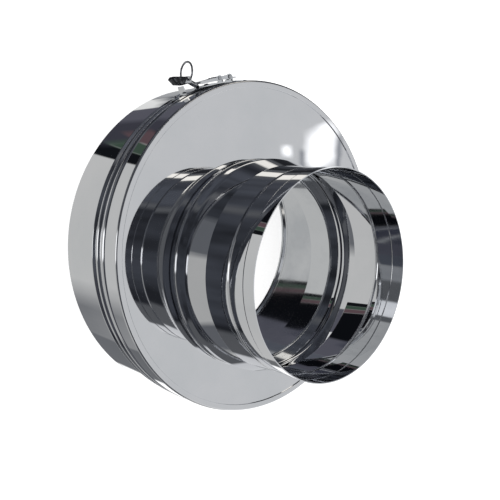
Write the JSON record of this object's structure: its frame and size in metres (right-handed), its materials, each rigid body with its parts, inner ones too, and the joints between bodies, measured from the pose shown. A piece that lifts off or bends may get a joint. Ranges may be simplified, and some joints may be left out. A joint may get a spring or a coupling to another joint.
{
  "type": "eccentric twin-wall to single-wall flue reducer with lever locking band",
  "caption": "Polished stainless flue reducer: an insulated drum with a lever-closed locking band, a flat mirror plate and an off-centre single-wall neck.",
  "frame": {"origin": "on the drum's axis in the plane of its open rear rim", "axes": "+Z along the flue towards the neck's mouth, +Y opposite the side that the neck is set over to"},
  "size_m": [0.3009, 0.3088, 0.178],
  "materials": {
    "polished_stainless": "mirror polished",
    "mill_stainless": "bright rolled",
    "latch_stainless": "satin",
    "plated_steel": "blackened",
    "spring_wire": "bright wire",
    "mineral_wool": "fibrous"
  },
  "bodies": {
    "body": {"rear_shell": "polished_stainless", "front_shell": "polished_stainless", "closing_plate": "polished_stainless", "neck_pipe": "polished_stainless", "inner_sleeve": "mill_stainless", "liner": "mill_stainless", "step_plate": "mill_stainless", "rear_ring": "mill_stainless", "insulation": "mineral_wool", "locking_band": "polished_stainless", "latch_plate": "latch_stainless", "catch_plate": "latch_stainless", "plate_rivets": "latch_stainless", "hinge_rivets": "latch_stainless"},
    "lever_body": {"lever": "latch_stainless", "link_pin": "latch_stainless"},
    "link_body": {"draw_link": "latch_stainless"},
    "linchpin_body": {"linchpin": "plated_steel"},
    "ring_body": {"linchpin_ring": "spring_wire"}
  },
  "joints": [
    {"name": "lever_hinge", "type": "hinge", "parent": "body", "child": "lever_body", "pos_m": [-0.03438, 0.15134, 0.0595], "axis": [0, 0, -1], "range_deg": [0, 150]},
    {"name": "link_hinge", "type": "hinge", "parent": "lever_body", "child": "link_body", "pos_m": [-0.04529, 0.14813, 0.0595], "axis": [0, 0, 1], "range_deg": [0, 160]},
    {"name": "linchpin_slide", "type": "slide", "parent": "body", "child": "linchpin_body", "axis": [-0.9613, 0.2756, 0], "range_m": [0, 0.02]},
    {"name": "ring_hinge", "type": "hinge", "parent": "linchpin_body", "child": "ring_body", "pos_m": [-0.07548, 0.14233, 0.0595], "axis": [0, 0, -1], "range_deg": [-50, 35]}
  ],
  "couplings": [
    {"joint": "link_hinge", "follows": "lever_hinge", "ratio": 1}
  ]
}
